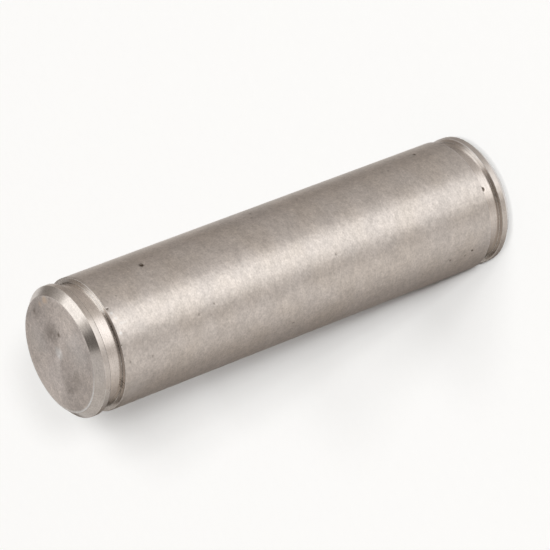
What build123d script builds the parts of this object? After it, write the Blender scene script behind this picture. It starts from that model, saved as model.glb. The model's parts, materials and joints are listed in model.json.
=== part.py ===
"""Actuator pin: one turned and ground steel pin with a ring groove near each end.

The pin stands on its lower end. The origin is the centre of that end's face and +Z runs up
the pin's axis. All lengths are in millimetres.
"""
from build123d import *
import os

# Driving dimensions of the whole pin
pin_length = 23.81
body_diameter = 6.35

# Driving dimensions of the two ends, which are alike
end_chamfer = 0.36
end_relief = 0.04
edge_break = 0.03

# Driving dimensions of the ring grooves
groove_setback = 0.66
groove_width = 0.74
groove_depth = 0.25
groove_root_radius = 0.05

# Radii and heights that follow from them
body_radius = body_diameter / 2
land_radius = body_radius - end_relief
face_radius = land_radius - end_chamfer
groove_radius = body_radius - groove_depth
groove_end = groove_setback + groove_width


def end_outline():
    """Section corners of one end as (radius, distance from the end face), from the axis out."""
    return [
        (0, 0),
        (face_radius, 0),
        (land_radius, end_chamfer),
        (land_radius, groove_setback),
        (groove_radius, groove_setback),
        (groove_radius, groove_end),
        (body_radius, groove_end),
    ]


def at_both_ends(corners):
    """The same corners at the lower end, and mirrored at the upper end in reverse order."""
    lower = [(radius, distance) for radius, distance in corners]
    upper = [(radius, pin_length - distance) for radius, distance in reversed(corners)]
    return lower + upper


def corners_of(section, places):
    """The section's vertices that lie at the given (radius, height) places."""
    wanted = [Vector(radius, 0, height) for radius, height in places]
    return [min(section.vertices(), key=lambda v: (Vector(v) - place).length) for place in wanted]


def pin_section():
    """Half section of the pin on the XZ plane, with its groove roots rounded and rims broken."""
    outline = at_both_ends(end_outline())
    section = Plane.XZ * make_face(Polyline(*outline, close=True))
    groove_roots = at_both_ends([(groove_radius, groove_setback), (groove_radius, groove_end)])
    section = fillet(corners_of(section, groove_roots), groove_root_radius)
    groove_rims = at_both_ends([(land_radius, groove_setback), (body_radius, groove_end)])
    return chamfer(corners_of(section, groove_rims), edge_break)


actuator_pin = revolve(pin_section(), Axis.Z)

os.makedirs("parts", exist_ok=True)
export_step(actuator_pin, "parts/actuator_pin.step")
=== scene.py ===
"""Looks of the actuator pin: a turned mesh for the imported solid, steel finishes, table, light and camera.

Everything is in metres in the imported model's frame: the pin stands on z = 0 and +Z runs up its axis.
Places round the pin are given as azimuths in degrees, 0 towards the camera and positive towards -X,
which is the lower side of the picture. A place on the upper face is (towards the camera, towards -X).
"""
import json
import math

import bmesh
import bpy
from mathutils import Matrix, Vector, noise


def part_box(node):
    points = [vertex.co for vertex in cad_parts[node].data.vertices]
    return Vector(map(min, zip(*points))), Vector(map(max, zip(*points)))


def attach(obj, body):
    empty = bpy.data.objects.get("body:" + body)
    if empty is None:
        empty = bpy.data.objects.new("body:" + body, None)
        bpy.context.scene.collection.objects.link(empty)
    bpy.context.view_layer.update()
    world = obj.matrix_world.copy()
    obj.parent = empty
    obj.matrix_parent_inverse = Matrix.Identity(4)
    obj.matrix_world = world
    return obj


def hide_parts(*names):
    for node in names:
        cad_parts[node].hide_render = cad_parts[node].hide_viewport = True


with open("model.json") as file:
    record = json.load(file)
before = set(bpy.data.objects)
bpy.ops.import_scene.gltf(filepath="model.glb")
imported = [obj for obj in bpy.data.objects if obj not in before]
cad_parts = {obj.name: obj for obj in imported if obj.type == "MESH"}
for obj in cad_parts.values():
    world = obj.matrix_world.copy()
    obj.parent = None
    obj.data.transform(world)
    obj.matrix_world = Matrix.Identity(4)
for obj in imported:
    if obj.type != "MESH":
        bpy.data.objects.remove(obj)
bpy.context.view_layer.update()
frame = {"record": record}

MM = 0.001

# Sizes of the pin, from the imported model
mounts = {mount["name"]: mount for mount in frame["record"]["mounts"]}
node_low, node_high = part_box("actuator_pin")
pin_length = node_high[2] - node_low[2]
body_radius = mounts["bearing_surface"]["dims"]["r_mm"] * MM
groove_radius = mounts["upper_ring_groove"]["dims"]["r_mm"] * MM
groove_width = mounts["upper_ring_groove"]["dims"]["length_mm"] * MM
groove_setback = pin_length - mounts["upper_ring_groove"]["pos_m"][2] - groove_width / 2
groove_end = groove_setback + groove_width

# Sizes of the ends that the record doesn't hold
end_chamfer = 0.36 * MM
end_relief = 0.04 * MM
land_radius = body_radius - end_relief
face_radius = land_radius - end_chamfer

# Roundings of the turned edges: the end's own edges, the body's rim at the groove, and the groove's roots
end_edge = 0.036 * MM
body_edge = 0.032 * MM
groove_root = 0.03 * MM

# Mesh density: segments round the pin, steps in each rounding, ring spacing on each finish and on the hidden
# face, the least spacing on the body, and how many edge margins a run needs to have rings at both ends
segments = 360
rounding_steps = 4
ring_spacing = {
    "face": 0.07 * MM,
    "chamfer": 0.07 * MM,
    "land": 0.08 * MM,
    "wall": 0.06 * MM,
    "floor": 0.06 * MM,
    "body": 0.80 * MM,
}
finish_names = list(ring_spacing)
hidden_face_spacing = 0.65 * MM
closest_rings = 0.006 * MM
least_run_margins = 3

# Relief of the upper face: the facing tool's rings, how much their depth varies, and a shallow dished centre
facing_feed = 0.29 * MM
facing_depth = 0.0003 * MM
facing_wander_share = 0.6
dish_radius = 0.75 * MM
dish_depth = 0.016 * MM

# Grain of the ragged edges of nicks, marks and arcs, how ragged they are, and how far out from its centre
# a nick or mark can reach, in half sizes
nick_grain = 0.08 * MM
mark_grain = 0.20 * MM
arc_grain = 0.40 * MM
ragged_share = 0.4
blot_reach = 2

# Small unevenness of the groove rims
rim_rag = 0.006 * MM
rim_rag_length = 0.28 * MM

# Nicks and pits as (height, azimuth, half size along the axis, half size round the pin, depth), in mm and
# degrees, the depth at which one is full of dirt, the half size above which one is large, and where the mesh
# has rings for the small and the large ones, in half sizes
nicks = [
    (22.30, -21.0, 0.085, 0.034, 0.030),
    (19.38, -50.2, 0.14, 0.170, 0.025),
    (21.55, -28.8, 0.04, 0.045, 0.014),
    (3.15, -63.4, 0.06, 0.080, 0.035),
    (12.90, -58.9, 0.05, 0.060, 0.020),
    (12.65, -66.6, 0.05, 0.080, 0.014),
    (5.15, -53.4, 0.05, 0.060, 0.012),
    (2.75, -24.7, 0.05, 0.060, 0.010),
    (17.22, 6.5, 0.04, 0.060, 0.020),
    (18.13, 10.5, 0.05, 0.050, 0.018),
    (17.52, 14.1, 0.05, 0.050, 0.012),
    (10.27, 4.7, 0.05, 0.050, 0.012),
    (20.88, 29.3, 0.06, 0.050, 0.016),
    (22.10, 26.8, 0.05, 0.060, 0.016),
    (13.02, 51.0, 0.07, 0.060, 0.018),
    (3.78, 50.3, 0.06, 0.080, 0.016),
    (2.47, 48.6, 0.07, 0.080, 0.020),
    (2.88, 51.7, 0.06, 0.080, 0.018),
    (1.19, -2.8, 0.06, 0.140, 0.040),
    (22.37, 11.0, 0.036, 0.065, 0.026),
    (22.43, 46.0, 0.05, 0.040, 0.016),
    (22.43, 49.0, 0.05, 0.040, 0.014),
    (22.43, 52.0, 0.05, 0.040, 0.016),
]
full_nick_depth = 0.020
large_nick = 0.08
small_nick_rings = (-1.4, -0.5, 0.5, 1.4)
large_nick_rings = (-1.4, -0.9, -0.45, 0.0, 0.45, 0.9, 1.4)

# Painted glints and painted highlights beside the upper groove's rims, at burrs and worn patches, as (height,
# azimuth, radius, share), in mm and degrees, and how far below the groove they can lie
painted_glints = [
    (22.22, -16.2, 0.10, 0.6),
    (22.15, -11.0, 0.09, 0.5),
    (22.22, 1.6, 0.11, 0.7),
    (22.02, -6.0, 0.07, 0.4),
    (23.30, 56.0, 0.85, 0.45),
    (21.95, 57.0, 0.90, 0.25),
]
glint_reach = 1.2 * MM

# Dirt and painted shade in the two grooves, with painted shade in the roots and a painted shadow towards -X,
# as (azimuth, share of the walls, share of the floor, share of the roots), and how uneven it is in large and
# in small patches
upper_groove_dirt_and_shade = [
    (-180, 0.15, 0.05, 0.40), (-90, 0.35, 0.35, 0.60), (-78, 0.20, 0.10, 0.50), (-65, 0.00, 0.00, 0.20),
    (-50, 0.00, 0.00, 0.10), (-22, 0.00, 0.00, 0.00), (-18, 0.10, 0.00, 0.50), (-5, 0.00, 0.00, 0.80),
    (12, 0.00, 0.00, 0.75), (25, 0.00, 0.00, 0.30), (40, 0.00, 0.00, 0.50), (57, 0.05, 0.00, 0.60),
    (61, 0.05, 0.05, 0.50), (67, 0.00, 0.20, 0.35), (73, 0.00, 0.40, 0.25), (84, 0.15, 0.60, 0.40),
    (98, 0.30, 0.40, 0.60), (115, 0.15, 0.10, 0.40), (180, 0.15, 0.05, 0.40),
]
lower_groove_dirt_and_shade = [
    (-180, 0.10, 0.05, 0.30), (-80, 0.05, 0.10, 0.25), (-62, 0.05, 0.18, 0.25), (-50, 0.00, 0.12, 0.10),
    (-42, 0.00, 0.00, 0.00), (-18, 0.00, 0.00, 0.15), (0, 0.00, 0.00, 0.35), (25, 0.00, 0.00, 0.10),
    (52, 0.00, 0.00, 0.15), (62, 0.00, 0.10, 0.30), (84, 0.25, 0.50, 0.50), (100, 0.20, 0.25, 0.40),
    (115, 0.10, 0.10, 0.30), (180, 0.10, 0.05, 0.30),
]
groove_patch_shares = (0.20, 0.15)

# Painted shade along the groove rims, partly dirt: a dark line at the land's rim and darker body rims, as
# (azimuth, share on the land's rim, on the upper body rim, on the body beside it), how far the body's painted
# shade reaches from it, the mesh rings there, and the land rim's width in edge roundings
rim_dirt_and_shade_stops = [
    (-180, 0.10, 0.10, 0.05), (-80, 0.10, 0.30, 0.20), (-56, 0.15, 0.30, 0.20), (-44, 0.70, 0.00, 0.00),
    (0, 0.80, 0.00, 0.00), (25, 0.80, 0.10, 0.00), (40, 0.60, 0.20, 0.00), (58, 0.50, 0.20, 0.00),
    (80, 0.45, 0.60, 0.15), (100, 0.40, 0.50, 0.20), (180, 0.10, 0.10, 0.05),
]
rim_shade_reach = 0.22 * MM
rim_shade_rings = 5
land_rim_share = 0.6

# Painted highlight on part of the grooves' walls as (azimuth, share), and how uneven it is
wall_highlight_stops = [(-180, 0.0), (-58, 0.0), (-50, 0.5), (-44, 0.8), (-24, 0.8), (-19, 0.0), (180, 0.0)]
wall_ragged_share = 0.8

# Worn bright line along the upper face's edge, with a painted highlight towards -X, as (azimuth, share), its
# width, and how uneven it is
edge_highlight_stops = [(-180, 0.10), (20, 0.05), (45, 0.60), (60, 0.90), (95, 0.80), (130, 0.20), (180, 0.10)]
edge_highlight_width = 0.10 * MM
edge_ragged_share = 0.6

# Marks on the upper face as (kind, towards the camera, towards -X, radius, strength), in mm: specks of dirt
# and a tan stain, painted shade on the +X side of the dished centre, and painted highlights at the centre and
# in two broad patches
face_marks = [
    ("tan", 0.52, -2.52, 0.24, 0.9),
    ("tan", -0.040, -2.42, 0.17, 0.5),
    ("dirt", 0.98, -2.43, 0.07, 0.5),
    ("dirt", 1.11, -2.21, 0.06, 0.4),
    ("dirt", 1.25, -2.00, 0.06, 0.3),
    ("dirt", -0.79, -2.23, 0.13, 0.3),
    ("dirt", -1.84, -1.75, 0.10, 0.3),
    ("dirt", 0.62, -0.82, 0.16, 0.55),
    ("dirt", 0.05, -0.95, 0.62, 0.20),
    ("shine", -0.016, -0.06, 0.36, 0.55),
    ("shine", 1.70, 0.30, 1.10, 0.13),
    ("shine", -1.50, -0.95, 0.90, 0.11),
]

# Arcs of the facing tool on the upper face as (radius, azimuth, half length, half width, dirt share), in mm
# and degrees
face_arcs = [
    (1.50, 78, 40, 0.50, 0.20),
    (1.75, 100, 30, 0.16, 0.12),
    (1.10, -95, 55, 0.40, 0.11),
    (2.25, -106, 14, 0.35, 0.16),
    (2.06, -20, 35, 0.16, 0.06),
]

# Camera, as fitted to the photograph. The upper face's centre lies at these distances from it, in body radii.
# The sensor's width is in mm
photo_size = 550
focal_pixels = 3698.4
camera_elevation = math.radians(30.8)
axis_tilt_in_picture = math.radians(20.95)
face_right_radii = -3.0411
face_down_radii = 1.1214
face_ahead_radii = 52.175
sensor_width = 36.0
clip_start = 0.01


def toward(azimuth, elevation=0.0):
    """Unit direction from the pin at an azimuth and an elevation in degrees."""
    turn = math.radians(azimuth)
    rise = math.radians(elevation)
    return Vector((-math.sin(turn) * math.cos(rise), -math.cos(turn) * math.cos(rise), math.sin(rise)))


def wrapped(angle):
    """An angle in degrees, turned to lie between -180 and 180."""
    return (angle + 180) % 360 - 180


def run_stops(length, spacing, margin):
    """Distances along a straight run, close at both ends and evenly spaced between."""
    if length < least_run_margins * margin:
        return [length / 2]
    count = max(1, round((length - 2 * margin) / spacing))
    return [margin + (length - 2 * margin) * step / count for step in range(count + 1)]


def end_rings(face_spacing):
    """Rings of one end, from the axis to the body's middle: (radius, distance from the end, finish)."""
    corners = [
        (face_radius, 0.0, end_edge),
        (land_radius, end_chamfer, end_edge),
        (land_radius, groove_setback, end_edge),
        (groove_radius, groove_setback, groove_root),
        (groove_radius, groove_end, groove_root),
        (body_radius, groove_end, body_edge),
    ]
    runs = ["face", "chamfer", "land", "wall", "floor", "wall", "body"]
    places = [Vector((0, 0))] + [Vector(corner[:2]) for corner in corners]
    places.append(Vector((body_radius, pin_length / 2)))
    rings = []
    start = places[0]
    for index, finish in enumerate(runs):
        spacing = face_spacing if finish == "face" else ring_spacing[finish]
        corner = places[index + 1]
        along = (corner - places[index]).normalized()
        last = index == len(runs) - 1
        if last:
            trim = 0.0
        else:
            onward = (places[index + 2] - corner).normalized()
            trim = corners[index][2] * math.tan(along.angle(onward) / 2)
        stop = corner - along * trim
        for distance in run_stops((stop - start).length, spacing, body_edge):
            place = start + along * distance
            rings.append((place.x, place.y, finish))
        if last:
            return rings
        after = corner + onward * trim
        for step in range(rounding_steps + 1):
            share = step / rounding_steps
            place = stop.lerp(corner, share).lerp(corner.lerp(after, share), share)
            rings.append((place.x, place.y, finish if share < 0.5 else runs[index + 1]))
        start = after


def pin_rings():
    """All rings from the upper face's centre to the lower one's, with closer rings where nicks are cut."""
    shown_end = end_rings(ring_spacing["face"])
    upper = [(radius, pin_length - distance, finish) for radius, distance, finish in shown_end]
    lower = end_rings(hidden_face_spacing)
    body_bottom = groove_end + body_edge
    body_top = pin_length - body_bottom
    extra = []
    for step in range(1, rim_shade_rings + 1):
        extra.append((body_radius, body_top - rim_shade_reach * step / rim_shade_rings, "body"))
    for height, _, half_along, _, _ in nicks:
        for share in large_nick_rings if half_along > large_nick else small_nick_rings:
            place = (height + half_along * share) * MM
            if body_bottom < place < body_top:
                extra.append((body_radius, place, "body"))
    before = [ring for ring in upper if ring[2] != "body"]
    after = [ring for ring in reversed(lower) if ring[2] != "body"]
    on_body = [ring for ring in upper + lower if ring[2] == "body"] + extra
    body = []
    for ring in sorted(on_body, key=lambda ring: -ring[1]):
        if not body or body[-1][1] - ring[1] > closest_rings:
            body.append(ring)
    return before + body + after


def facing_relief(place):
    """Height of the upper face at a place on it: the facing rings and the dished centre."""
    radius = place.length
    wander = 1 + facing_wander_share * noise.noise(place / MM)
    ring = facing_depth * wander * math.sin(2 * math.pi * radius / facing_feed)
    dish = max(0.0, 1 - (radius / dish_radius) ** 2) ** 2
    return ring - dish_depth * dish


def blot(offset, place, grain_length):
    """How far a place lies inside a mark with a ragged edge: 1 at the mark's centre, 0 outside it."""
    ragged = offset * (1 + ragged_share * noise.noise(place / grain_length))
    return max(0.0, 1 - ragged ** 2)


def nick_bite(place, azimuth, nearby):
    """The depth of the nicks at a place on the body, and how dirty it is there."""
    bite = 0.0
    dirt = 0.0
    for height, centre, half_along, half_round, depth in nearby:
        turn = math.radians(wrapped(azimuth - centre))
        along = (place.z / MM - height) / half_along
        around = turn * body_radius / MM / half_round
        inside = blot(math.hypot(along, around), place, nick_grain)
        bite = max(bite, inside * depth * MM)
        dirt = max(dirt, inside * depth / full_nick_depth)
    return bite, dirt


def painted_glint(place, azimuth):
    """How bright the painted glints and highlights at burrs and worn patches make a place beside the upper
    groove.
    """
    shine = 0.0
    for height, centre, radius, share in painted_glints:
        around = math.radians(wrapped(azimuth - centre)) * body_radius / MM
        offset = math.hypot(place.z / MM - height, around) / radius
        if offset < blot_reach:
            shine = max(shine, share * blot(offset, place, nick_grain))
    return shine


def face_wear_and_painted_light(place, azimuth):
    """Dirt, painted shade, tan stain and painted highlights at a place on the upper face."""
    wear_and_painted_light = {"dirt": 0.0, "tan": 0.0, "shine": 0.0}
    for kind, camera_side, low_side, radius, strength in face_marks:
        centre = (toward(0) * camera_side + toward(90) * low_side) * MM
        offset = (place - centre).to_2d().length / (radius * MM)
        if offset < blot_reach:
            wear_and_painted_light[kind] += strength * blot(offset, place, mark_grain)
    for radius, centre, half_length, half_width, strength in face_arcs:
        turn = wrapped(azimuth - centre) / half_length
        offset = math.hypot(turn, (place.to_2d().length / MM - radius) / half_width)
        if offset < blot_reach:
            wear_and_painted_light["dirt"] += strength * blot(offset, place, arc_grain)
    return wear_and_painted_light


def between(stops, azimuth):
    """The values at an azimuth, straight between the stops on both sides of it."""
    azimuth = wrapped(azimuth)
    for before, after in zip(stops, stops[1:]):
        if azimuth <= after[0]:
            share = (azimuth - before[0]) / (after[0] - before[0])
            return [low + (high - low) * share for low, high in zip(before[1:], after[1:])]


def groove_dirt_and_shade(radius, height, finish, place, azimuth):
    """Dirt and painted shade in and beside a groove: on its walls, floor, roots and rims, and on the body by
    the upper one.
    """
    upper = height > pin_length / 2
    from_end = pin_length - height if upper else height
    if finish in ("face", "chamfer") or from_end > groove_end + rim_shade_reach:
        return 0.0
    large_patch, small_patch = groove_patch_shares
    patchy = 1 + large_patch * noise.noise(place / arc_grain) + small_patch * noise.noise(place / nick_grain)
    land_share, rim_share, body_share = between(rim_dirt_and_shade_stops, azimuth)
    if finish == "land":
        return land_share * patchy if from_end > groove_setback - land_rim_share * end_edge else 0.0
    if radius > body_radius - body_edge and from_end < groove_end + body_edge:
        return rim_share * patchy if upper else 0.0
    if finish == "body":
        return body_share * patchy * (1 - (from_end - groove_end) / rim_shade_reach) if upper else 0.0
    stops = upper_groove_dirt_and_shade if upper else lower_groove_dirt_and_shade
    wall_share, floor_share, root_share = between(stops, azimuth)
    from_middle = abs(from_end - groove_setback - groove_width / 2)
    if radius < groove_radius + groove_root and from_middle > groove_width / 2 - groove_root:
        return root_share * patchy
    return (wall_share if finish == "wall" else floor_share) * patchy


def surface_wear_and_painted_light(radius, height, finish, place, azimuth, nick_dirt):
    """Dirt and painted shade, tan stain, and worn shine and painted highlights at a place on the pin, given
    the dirt of its nicks.
    """
    if finish == "face" and height > pin_length / 2:
        wear_and_painted_light = face_wear_and_painted_light(place, azimuth)
        # A worn bright line at the face's edge, with a painted highlight towards -X
        if radius > face_radius - edge_highlight_width:
            ragged = 1 + edge_ragged_share * noise.noise(place / nick_grain)
            wear_and_painted_light["shine"] = max(wear_and_painted_light["shine"], between(edge_highlight_stops, azimuth)[0] * ragged)
        return wear_and_painted_light
    dirt = max(nick_dirt, groove_dirt_and_shade(radius, height, finish, place, azimuth))
    shine = 0.0
    # A painted highlight on part of the groove walls
    if finish == "wall":
        ragged = 1 + wall_ragged_share * noise.noise(place / mark_grain)
        shine = between(wall_highlight_stops, azimuth)[0] * ragged
    # Painted glints and highlights at burrs and worn patches beside the upper groove
    elif finish in ("land", "body") and height > pin_length - groove_end - glint_reach:
        shine = painted_glint(place, azimuth)
    return {"dirt": dirt, "tan": 0.0, "shine": shine}


def ring_faces(rings):
    """Quads between the rings and a fan at each end's centre, and the finish of each."""
    faces = []
    finishes = []
    for index in range(len(rings) - 1):
        first = index * segments
        below = first + segments
        finish = rings[index][2] if rings[index][1] > pin_length / 2 else rings[index + 1][2]
        for segment in range(segments):
            after = (segment + 1) % segments
            faces.append((first + segment, first + after, below + after, below + segment))
            finishes.append(finish)
    top_centre = len(rings) * segments
    last = top_centre - segments
    for segment in range(segments):
        after = (segment + 1) % segments
        faces.append((top_centre, after, segment))
        faces.append((top_centre + 1, last + segment, last + after))
        finishes += ["face", "face"]
    return faces, finishes


def turned_mesh():
    """The whole pin as rings of quads, with the wear, painted shade and painted highlights at each vertex."""
    rings = pin_rings()
    vertices = []
    wear_and_painted_light = {"dirt": [], "tan": [], "shine": []}
    for radius, height, finish in rings:
        nearby = [nick for nick in nicks if abs(height / MM - nick[0]) < blot_reach * nick[2]]
        on_rim = finish in ("wall", "land") and radius > groove_radius + groove_root
        on_face = finish == "face" and height > pin_length / 2
        for segment in range(segments):
            azimuth = 360.0 * segment / segments
            out = toward(azimuth)
            place = out * radius + Vector((0, 0, height))
            bite, nick_dirt = nick_bite(place, azimuth, nearby)
            marks = surface_wear_and_painted_light(radius, height, finish, place, azimuth, nick_dirt)
            for kind, values in wear_and_painted_light.items():
                values.append(max(0.0, marks[kind]))
            if on_face:
                place.z += facing_relief(out * radius)
            if on_rim:
                place += out * rim_rag * noise.noise(place / rim_rag_length)
            vertices.append(place - out * bite)
    end_centres = [Vector((0, 0, pin_length - dish_depth)), Vector((0, 0, 0))]
    faces, finishes = ring_faces(rings)
    mesh = bpy.data.meshes.new("actuator_pin_visual")
    mesh.from_pydata(vertices + end_centres, [], faces)
    mesh.polygons.foreach_set("material_index", [finish_names.index(name) for name in finishes])
    mesh.polygons.foreach_set("use_smooth", [True] * len(faces))
    for kind, values in wear_and_painted_light.items():
        layer = mesh.attributes.new(kind, "FLOAT", "POINT")
        layer.data.foreach_set("value", values + [0.0] * len(end_centres))
    return mesh


# Places of the mix node's sockets whose names repeat: two values in, two colours in, and the colour out
mix_values = (2, 3)
mix_colours = (6, 7)
mix_colour_out = 2

# Rings of a turning tool: how far they wander, how fine they are, and the wave texture's scale for one per mm
ring_distortion = 6.0
ring_detail = 3.0
one_ring_scale = math.pi / 10


def add(tree, kind, inputs=None, **settings):
    """A new shader node: settings are its properties, and inputs are values or the sockets linked to it."""
    made = tree.nodes.new(kind)
    for name, value in settings.items():
        setattr(made, name, value)
    for name, value in (inputs or {}).items():
        if isinstance(value, bpy.types.NodeSocket):
            tree.links.new(value, made.inputs[name])
        else:
            made.inputs[name].default_value = value
    return made


def empty_material(name):
    """A new material with an empty node tree."""
    material = bpy.data.materials.new(name)
    material.use_nodes = True
    material.node_tree.nodes.clear()
    return material


def place_in_mm(tree):
    """The place on an object, in mm in the object's own frame."""
    coordinates = add(tree, "ShaderNodeTexCoord").outputs["Object"]
    return add(tree, "ShaderNodeMapping", {"Vector": coordinates, "Scale": (1 / MM,) * 3}).outputs[0]


def grain(tree, place, scale, detail=3.0):
    """Noise from 0 to 1 with features per mm along X, Y and Z."""
    stretched = add(tree, "ShaderNodeMapping", {"Vector": place, "Scale": scale}).outputs[0]
    texture = add(tree, "ShaderNodeTexNoise", {"Vector": stretched, "Scale": 1.0, "Detail": detail})
    return texture.outputs["Fac"]


def tool_rings(tree, place, per_mm):
    """Uneven rings about the Z axis from 0 to 1."""
    waves = add(tree, "ShaderNodeTexWave", {
        "Vector": place,
        "Scale": per_mm * one_ring_scale,
        "Distortion": ring_distortion,
        "Detail": ring_detail,
    }, wave_type="RINGS", rings_direction="Z")
    return waves.outputs["Fac"]


def remap(tree, value, low, high, to_low, to_high):
    """A value moved from one range to another, held at both ends."""
    return add(tree, "ShaderNodeMapRange", {
        "Value": value, "From Min": low, "From Max": high, "To Min": to_low, "To Max": to_high,
    }).outputs[0]


def uneven(tree, value, limits, share):
    """A noise between two limits as a factor that runs from 1 - share to 1 + share."""
    return remap(tree, value, *limits, 1 - share, 1 + share)


def grey(level):
    """A grey of a level."""
    return (level, level, level, 1.0)


def blend(tree, factor, first, second, mode="MIX"):
    """Two colours mixed by a factor."""
    sockets = {"Factor": factor, mix_colours[0]: first, mix_colours[1]: second}
    mixed = add(tree, "ShaderNodeMix", sockets, data_type="RGBA", blend_type=mode)
    return mixed.outputs[mix_colour_out]


def times(tree, first, second):
    """Two colours multiplied."""
    return blend(tree, 1.0, first, second, "MULTIPLY")


def attribute(tree, name):
    """A value that the mesh holds at each vertex."""
    return add(tree, "ShaderNodeAttribute", attribute_name=name).outputs["Fac"]


# Colours of bare steel, its cooler patches, dirt and painted shade, tan stain, and worn bright metal and
# painted highlights
steel_tint = (0.611, 0.553, 0.502, 1.0)
cool_tint = (0.604, 0.552, 0.511, 1.0)
dirt_and_shade_tint = (0.122, 0.099, 0.078, 1.0)
tan_tint = (0.66, 0.52, 0.40, 1.0)
highlight_and_wear_tint = (0.82, 0.81, 0.79, 1.0)

# Mottling of the steel: features per mm, how fine it is, and how it changes the roughness
mottle_scale = (0.45, 0.45, 0.45)
mottle_detail = 2.0
roughness_change = (-0.02, 0.03)

# Ragged edge of the dirt and painted shade: features per mm, how fine it is, and how uneven
fringe_scale = (9.0, 9.0, 9.0)
fringe_detail = 1.0
fringe_share = 0.35

# Part of each noise's range that has the full effect: on the tint, the roughness, the brightness and the dirt
# and painted shade
tint_limits = (0.40, 0.60)
roughness_limits = (0.30, 0.70)
grain_limits = (0.25, 0.75)
fringe_limits = (0.35, 0.65)

# Highlights are stretched across the tool's marks, a quarter turn from the tangent
anisotropy_turn = 0.25

# Ways of machining as layers of (features per mm, weight in the relief, change of brightness)
ground = [
    ((11.0, 11.0, 13.0), 0.4, 0.15),
    ((3.6, 3.6, 5.0), 1.0, 0.12),
    ((0.9, 0.9, 1.4), 0.0, 0.07),
    ((0.6, 0.6, 20.0), 0.2, 0.02),
]
turned = [((0.8, 0.8, 18.0), 1.0, 0.06), ((10.0, 10.0, 15.0), 0.5, 0.10), ((1.9, 1.9, 3.8), 0.5, 0.06)]
faced = [((3.8, 3.8, 3.8), 1.0, 0.14), ((11.0, 11.0, 11.0), 0.6, 0.24), ((1.0, 1.0, 1.0), 0.0, 0.10)]
facing_rings = (2.8, 0.15, 0.02)

# Finishes in the order of finish_names as (name, tone, roughness, anisotropy, relief in mm, layers, rings)
bare = (1.0, 1.0, 1.0)
steel_finishes = [
    ("faced_end", (0.85, 0.82, 0.815), 0.32, 0.85, 0.0025, faced, facing_rings),
    ("turned_chamfer", bare, 0.17, 0.0, 0.0007, turned, None),
    ("turned_land", bare, 0.28, 0.3, 0.0016, turned, None),
    ("groove_wall", bare, 0.26, 0.0, 0.0010, turned, None),
    # The groove floor's tone of 1.10 lifts it above the bare steel, painted light in the shaded groove
    ("groove_floor", (1.10, 1.10, 1.10), 0.18, 0.3, 0.0010, turned, None),
    ("ground_body", bare, 0.30, 0.3, 0.0095, ground, None),
]


def steel(name, tone, roughness, anisotropy, relief, layers, rings):
    """Worn steel with the relief and brightness of its layers and rings, and the wear, painted shade and
    painted highlights that the mesh holds.
    """
    material = empty_material(name)
    tree = material.node_tree
    place = place_in_mm(tree)
    mottle = grain(tree, place, mottle_scale, mottle_detail)
    colour = blend(tree, remap(tree, mottle, *tint_limits, 0.0, 1.0), steel_tint, cool_tint)
    colour = times(tree, colour, tone + (1.0,))
    smoothest, roughest = (roughness + change for change in roughness_change)
    rough = remap(tree, mottle, *roughness_limits, smoothest, roughest)
    patterns = [(grain(tree, place, scale), weight, contrast) for scale, weight, contrast in layers]
    if rings:
        per_mm, weight, contrast = rings
        patterns.append((tool_rings(tree, place, per_mm), weight, contrast))
    height = 0.0
    for value, weight, contrast in patterns:
        colour = times(tree, colour, uneven(tree, value, grain_limits, contrast))
        raised = {0: value, 1: weight, 2: height}
        height = add(tree, "ShaderNodeMath", raised, operation="MULTIPLY_ADD").outputs[0]
    colour = blend(tree, attribute(tree, "tan"), colour, tan_tint)
    # Painted highlights and worn bright metal lighten the colour
    colour = blend(tree, attribute(tree, "shine"), colour, highlight_and_wear_tint)
    fringe = uneven(tree, grain(tree, place, fringe_scale, fringe_detail), fringe_limits, fringe_share)
    # Dirt and painted shade darken the colour and what the steel reflects
    ragged = {0: attribute(tree, "dirt"), 1: fringe}
    dirt = add(tree, "ShaderNodeMath", ragged, operation="MULTIPLY", use_clamp=True).outputs[0]
    bump = add(tree, "ShaderNodeBump", {"Height": height, "Strength": 1.0, "Distance": relief * MM})
    tangent = add(tree, "ShaderNodeTangent", direction_type="RADIAL", axis="Z")
    shader = add(tree, "ShaderNodeBsdfPrincipled", {
        "Base Color": blend(tree, dirt, colour, dirt_and_shade_tint),
        "Metallic": 1.0,
        "Roughness": rough,
        "Anisotropic": anisotropy,
        "Anisotropic Rotation": anisotropy_turn,
        "Specular Tint": blend(tree, dirt, grey(1.0), dirt_and_shade_tint),
        "Normal": bump.outputs[0],
        "Tangent": tangent.outputs[0],
    })
    add(tree, "ShaderNodeOutputMaterial", {"Surface": shader.outputs[0]})
    return material


def build_pin():
    """The visible pin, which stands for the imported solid."""
    mesh = turned_mesh()
    pin = bpy.data.objects.new("actuator_pin_finished", mesh)
    bpy.context.collection.objects.link(pin)
    for finish in steel_finishes:
        mesh.materials.append(steel(*finish))
    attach(pin, "root")
    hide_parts("actuator_pin")


# Pale table: its colour, its grain in features per mm and change of brightness, its size, and how far it lies
# below the pin
table_colour = (0.90, 0.895, 0.885, 1.0)
table_grain_scale = (1.5, 1.5, 1.5)
table_grain_share = 0.004
table_radius = 0.4
table_segments = 96
table_drop = 0.01 * MM


def table_material():
    """Matt pale paper with a faint grain."""
    material = empty_material("pale_table")
    tree = material.node_tree
    fibres = grain(tree, place_in_mm(tree), table_grain_scale)
    colour = times(tree, table_colour, uneven(tree, fibres, grain_limits, table_grain_share))
    matt = add(tree, "ShaderNodeBsdfDiffuse", {"Color": colour})
    add(tree, "ShaderNodeOutputMaterial", {"Surface": matt.outputs[0]})
    return material


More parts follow.
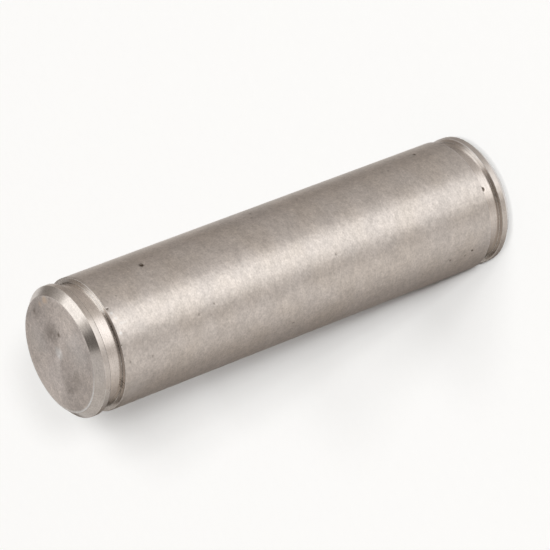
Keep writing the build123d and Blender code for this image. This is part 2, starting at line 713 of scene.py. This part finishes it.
def build_table():
    """The round table top that the pin stands on. The metal sees the dome's lower half in its place."""
    shape = bmesh.new()
    bmesh.ops.create_circle(shape, cap_ends=True, segments=table_segments, radius=table_radius)
    mesh = bpy.data.meshes.new("table")
    shape.to_mesh(mesh)
    shape.free()
    mesh.materials.append(table_material())
    table = bpy.data.objects.new("table", mesh)
    table.location.z = -table_drop
    table.visible_glossy = False
    bpy.context.collection.objects.link(table)


# Studio dome: its level at the horizon and above, the powers that dim green and blue in its dimmer parts, and
# its soft panels as (azimuth, elevation, half width, half height, soft share of the edge, level), in degrees
horizon_level = 0.95
dome_level = 0.68
dome_full_elevation = 18.0
upper_warmth = (1.04, 1.08)
panels = [
    (-74, 43, 34, 18, 0.25, 1.55),
    (-66, 30, 26, 9, 0.30, 1.85),
    (45, 30, 75, 17, 0.25, 0.64),
    (2, 30, 36, 17, 0.30, 0.37),
    (-2, 58, 27, 9, 0.20, 0.12),
    (-140, 14, 26, 16, 0.50, 0.32),
    (158, 12, 24, 20, 0.50, 0.55),
    (-155, 56, 26, 16, 0.50, 1.60),
    (205, 56, 26, 16, 0.50, 1.60),
]

# Flat light that the table gets from all sides, and the plain backdrop that the camera sees behind it
table_fill = (0.072, 0.054, 0.044, 1.0)
backdrop_colour = (0.965, 0.956, 0.940, 1.0)

# Lower half of the dome, the lit table round the pin as (azimuth, level): bright on the camera's side, dim
# behind. It takes over below the horizon, fades a little downwards, and is bright again straight below, each
# between two elevations
lower_elevations = (-4.0, -14.0)
lower_warmth = (1.06, 1.11)
lower_levels = [
    (-180, 0.95), (-166, 0.70), (-150, 0.58), (-136, 0.43), (-120, 0.36), (-92, 0.49), (-56, 0.60),
    (-42, 0.74), (-25, 1.50), (-6, 1.55), (9, 1.24), (19, 0.73), (29, 0.65), (48, 0.88), (71, 0.77),
    (103, 0.455), (145, 0.25), (166, 0.20), (180, 0.22),
]
fade_elevations = (-38.0, -29.0)
fade_levels = (0.84, 1.06)
below_elevations = (-38.0, -46.0)
below_level = 0.86


def share_round(tree, vector):
    """Azimuth of a vector as a share of the turn: 0.5 towards the camera, rising towards -X."""
    rotated = add(tree, "ShaderNodeMapping", {
        "Vector": vector, "Rotation": (0, 0, math.radians(90)), "Scale": (-1, 1, 1),
    }).outputs[0]
    around = add(tree, "ShaderNodeTexGradient", {"Vector": rotated}, gradient_type="RADIAL")
    return around.outputs["Fac"]


def upper_half(tree, azimuth, elevation):
    """Colour of the dome's upper half with its panels, dimmer parts of it warmer."""
    place = add(tree, "ShaderNodeCombineXYZ", {"X": azimuth, "Y": elevation}).outputs[0]
    level = remap(tree, elevation, 0.0, dome_full_elevation, horizon_level, dome_level)
    for centre, height, half_width, half_height, soft, panel_level in panels:
        offset = add(tree, "ShaderNodeMapping", {
            "Vector": place, "Location": (centre, height, 0), "Scale": (half_width, half_height, 1),
        }, vector_type="TEXTURE").outputs[0]
        distance = add(tree, "ShaderNodeVectorMath", {0: offset}, operation="LENGTH").outputs["Value"]
        inside = remap(tree, distance, 1 - soft, 1 + soft, 1.0, 0.0)
        sockets = {"Factor": inside, mix_values[0]: level, mix_values[1]: panel_level}
        level = add(tree, "ShaderNodeMix", sockets, data_type="FLOAT").outputs[0]
    colour = add(tree, "ShaderNodeCombineColor", {"Red": level})
    for channel, power in zip(("Green", "Blue"), upper_warmth):
        warmer = add(tree, "ShaderNodeMath", {0: level, 1: power}, operation="POWER")
        tree.links.new(warmer.outputs[0], colour.inputs[channel])
    return colour.outputs[0]


def lower_half(tree, around, elevation):
    """Colour of the dome's lower half, dimmer parts of it warmer."""
    ramp = add(tree, "ShaderNodeValToRGB", {"Fac": around})
    brightest = max(level for _, level in lower_levels)
    stops = ramp.color_ramp.elements
    while len(stops) < len(lower_levels):
        stops.new(0.5)
    for stop, (azimuth, level) in zip(stops, lower_levels):
        share = level / brightest
        stop.position = 0.5 + azimuth / 360
        stop.color = (share, share ** lower_warmth[0], share ** lower_warmth[1], 1.0)
    colour = times(tree, ramp.outputs["Color"], grey(brightest))
    colour = times(tree, colour, remap(tree, elevation, *fade_elevations, *fade_levels))
    below = remap(tree, elevation, *below_elevations, 0.0, 1.0)
    return blend(tree, below, colour, grey(below_level))


def build_dome():
    """A pale dome of soft light in the world, which only the metal sees. The camera sees a plain backdrop."""
    world = bpy.data.worlds.new("studio")
    bpy.context.scene.world = world
    world.use_nodes = True
    tree = world.node_tree
    tree.nodes.clear()
    direction = add(tree, "ShaderNodeTexCoord").outputs["Generated"]
    around = share_round(tree, direction)
    azimuth = remap(tree, around, 0.0, 1.0, -180.0, 180.0)
    sine = add(tree, "ShaderNodeSeparateXYZ", {0: direction}).outputs["Z"]
    rise = add(tree, "ShaderNodeMath", {0: sine}, operation="ARCSINE").outputs[0]
    elevation = add(tree, "ShaderNodeMath", {0: rise}, operation="DEGREES").outputs[0]
    upper = upper_half(tree, azimuth, elevation)
    lower = lower_half(tree, around, elevation)
    colour = blend(tree, remap(tree, elevation, *lower_elevations, 0.0, 1.0), upper, lower)
    ray = add(tree, "ShaderNodeLightPath").outputs
    colour = blend(tree, ray["Diffuse Depth"], colour, table_fill)
    colour = blend(tree, ray["Is Camera Ray"], colour, backdrop_colour)
    light = add(tree, "ShaderNodeBackground", {"Color": colour})
    add(tree, "ShaderNodeOutputWorld", {"Surface": light.outputs[0]})


# Lamps that light the table and give the pin its shadow, as (name, azimuth, elevation, size, power): small
# ones behind the camera and broad ones above it, towards the picture's top
lamp_distance = 10.0
lamp_colour = (0.986, 0.998, 1.0)
lamps = [
    ("low", -1.8, 25.5, 0.40, 370.0),
    ("lens", -2.8, 29.0, 0.42, 568.0),
    ("beside", -5.0, 29.0, 0.42, 298.0),
    ("side", -7.5, 31.0, 0.63, 208.0),
    ("over", -9.5, 40.0, 0.42, 56.0),
    ("over_broad", -10.0, 44.0, 1.40, 59.0),
    ("high", -20.0, 50.0, 1.40, 90.0),
    ("higher", -20.0, 64.0, 1.40, 54.0),
    ("top", -40.0, 72.0, 2.10, 141.0),
]


def build_lamps():
    """The lamps, aimed at the middle of the pin. The metal doesn't mirror them."""
    for name, azimuth, elevation, size, power in lamps:
        data = bpy.data.lights.new(name, "AREA")
        data.shape = "DISK"
        data.size = size
        data.energy = power
        data.color = lamp_colour
        lamp = bpy.data.objects.new(name, data)
        way = toward(azimuth, elevation)
        lamp.location = way * lamp_distance + Vector((0, 0, pin_length / 2))
        lamp.rotation_euler = way.to_track_quat("Z", "Y").to_euler()
        lamp.visible_glossy = False
        bpy.context.collection.objects.link(lamp)


def build_camera():
    """The camera at the photograph's angle, rolled so that the pin's upper end is at the lower left."""
    ahead = Vector((0, math.cos(camera_elevation), -math.sin(camera_elevation)))
    level_right = Vector((1, 0, 0))
    level_up = level_right.cross(ahead)
    tilt = axis_tilt_in_picture
    right = -math.cos(tilt) * level_up - math.sin(tilt) * level_right
    up = right.cross(ahead)
    face_centre = Vector((0, 0, pin_length))
    offset = face_right_radii * right - face_down_radii * up + face_ahead_radii * ahead
    data = bpy.data.cameras.new("camera")
    data.sensor_width = sensor_width
    data.lens = sensor_width * focal_pixels / photo_size
    data.clip_start = clip_start
    camera = bpy.data.objects.new("camera", data)
    turn = Matrix((right, up, -ahead)).transposed().to_4x4()
    camera.matrix_world = Matrix.Translation(face_centre - offset * body_radius) @ turn
    bpy.context.collection.objects.link(camera)
    bpy.context.scene.camera = camera


build_pin()
build_table()
build_dome()
build_lamps()
build_camera()
bpy.context.scene.view_settings.view_transform = "Standard"
